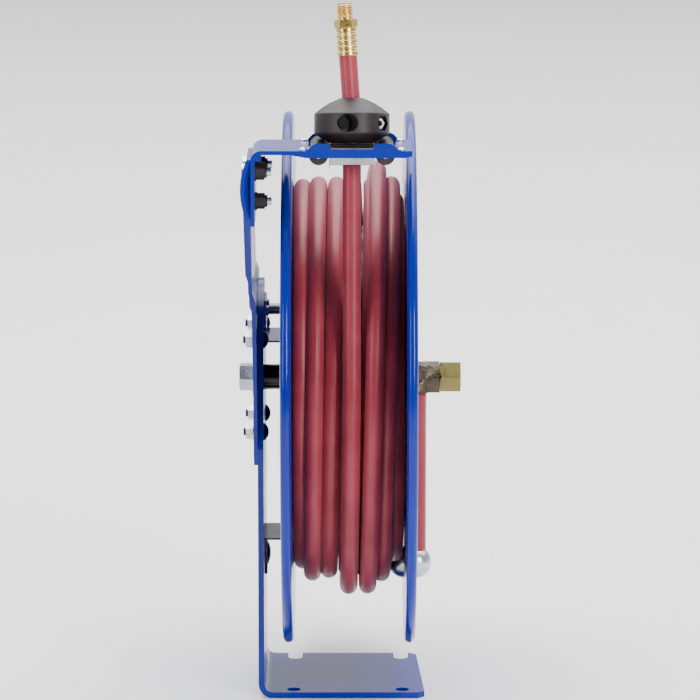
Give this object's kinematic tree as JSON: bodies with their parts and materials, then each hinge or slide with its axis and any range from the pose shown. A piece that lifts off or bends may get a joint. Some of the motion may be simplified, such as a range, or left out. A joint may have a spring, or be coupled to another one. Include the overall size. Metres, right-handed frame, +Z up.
{
  "type": "spring rewind hose reel",
  "caption": "Spring-rewind air hose reel on a one-sided steel stand, with a roller hose guide, a swivel inlet, a ratchet and pawl, and a hose with a ball stopper.",
  "frame": {"origin": "centre of the base's four mounting places, on the underside of the base", "axes": "+Z up, +X along the drum axle towards the air inlet, -Y towards the front where the hose comes out"},
  "size_m": [0.1816, 0.436, 0.577],
  "materials": {
    "blue_paint": "gloss",
    "dark_blue_paint": "gloss",
    "zinc": "satin",
    "spring_steel": "satin",
    "black_steel": "gloss",
    "brass": "satin",
    "bronze": "satin",
    "black_plastic": "satin",
    "hose_rubber": "satin",
    "seal_rubber": "matte"
  },
  "bodies": {
    "frame": {"base_upright": "blue_paint", "guide_arm": "blue_paint", "arm_bolts": "dark_blue_paint", "arm_nuts": "zinc", "guide_bracket": "blue_paint", "bracket_bolts": "zinc", "bracket_nuts": "black_plastic", "guide_side_plates": "zinc", "guide_screws": "zinc", "side_roller_pins": "zinc", "cross_roller_pins": "zinc", "axle": "black_steel", "axle_nut": "zinc", "axle_washer": "zinc", "axle_clip": "spring_steel", "spring_arbor": "spring_steel", "pawl_bracket": "blue_paint", "pawl_pivot": "zinc", "pawl_spring": "spring_steel", "guard_tab": "dark_blue_paint", "guard_tab_bolt": "dark_blue_paint", "hose_lead": "hose_rubber"},
    "drum": {"left_disc": "blue_paint", "right_disc": "blue_paint", "drum_core": "blue_paint", "left_hub": "spring_steel", "right_hub": "spring_steel", "left_bearing": "bronze", "right_bearing": "bronze", "spring_case": "spring_steel", "main_spring": "spring_steel", "ratchet_wheel": "zinc", "disc_screws": "zinc", "hose_winding": "hose_rubber", "riser_elbow": "zinc", "inner_ferrule": "brass", "jumper_hose": "hose_rubber", "swivel_body": "brass"},
    "inlet": {"inlet_nut": "brass", "inlet_seals": "seal_rubber"},
    "pawl": {"pawl": "zinc"},
    "roller_left": {"side_roller_left": "black_plastic"},
    "roller_right": {"side_roller_right": "black_plastic"},
    "roller_front": {"cross_roller_front": "black_plastic"},
    "roller_rear": {"cross_roller_rear": "black_plastic"},
    "hose_end": {"hose_end": "hose_rubber", "stopper_front": "black_plastic", "stopper_rear": "black_plastic", "stopper_bolts": "black_steel", "stopper_nuts": "zinc", "end_ferrule": "brass", "end_fitting": "brass"}
  },
  "joints": [
    {"name": "drum_spin", "type": "hinge", "parent": "frame", "child": "drum", "pos_m": [0, 0, 0.2556], "axis": [-1, 0, 0], "range_deg": [0, 360], "stiffness_Nm_per_rad": 0.12, "springref_deg": -716.2},
    {"name": "hose_pull", "type": "slide", "parent": "frame", "child": "hose_end", "axis": [0, 0.1595, 0.9872], "range_m": [0, 1.0764]},
    {"name": "pawl_swing", "type": "hinge", "parent": "frame", "child": "pawl", "pos_m": [-0.048, 0.024, 0.308], "axis": [1, 0, 0], "range_deg": [0, 12], "stiffness_Nm_per_rad": 0.05, "springref_deg": -5.73},
    {"name": "inlet_swivel", "type": "hinge", "parent": "drum", "child": "inlet", "pos_m": [0.07, 0, 0.2556], "axis": [1, 0, 0], "continuous": true},
    {"name": "roller_left_turn", "type": "hinge", "parent": "frame", "child": "roller_left", "pos_m": [-0.0229, -0.14, 0.463], "axis": [0, 1, 0], "continuous": true},
    {"name": "roller_right_turn", "type": "hinge", "parent": "frame", "child": "roller_right", "pos_m": [0.0289, -0.14, 0.463], "axis": [0, 1, 0], "continuous": true},
    {"name": "roller_front_turn", "type": "hinge", "parent": "frame", "child": "roller_front", "pos_m": [0.003, -0.1566, 0.4619], "axis": [1, 0, 0], "continuous": true},
    {"name": "roller_rear_turn", "type": "hinge", "parent": "frame", "child": "roller_rear", "pos_m": [0.003, -0.1234, 0.4576], "axis": [1, 0, 0], "continuous": true}
  ],
  "couplings": [
    {"joint": "hose_pull", "follows": "drum_spin", "m_per_rad": 0.1713}
  ]
}
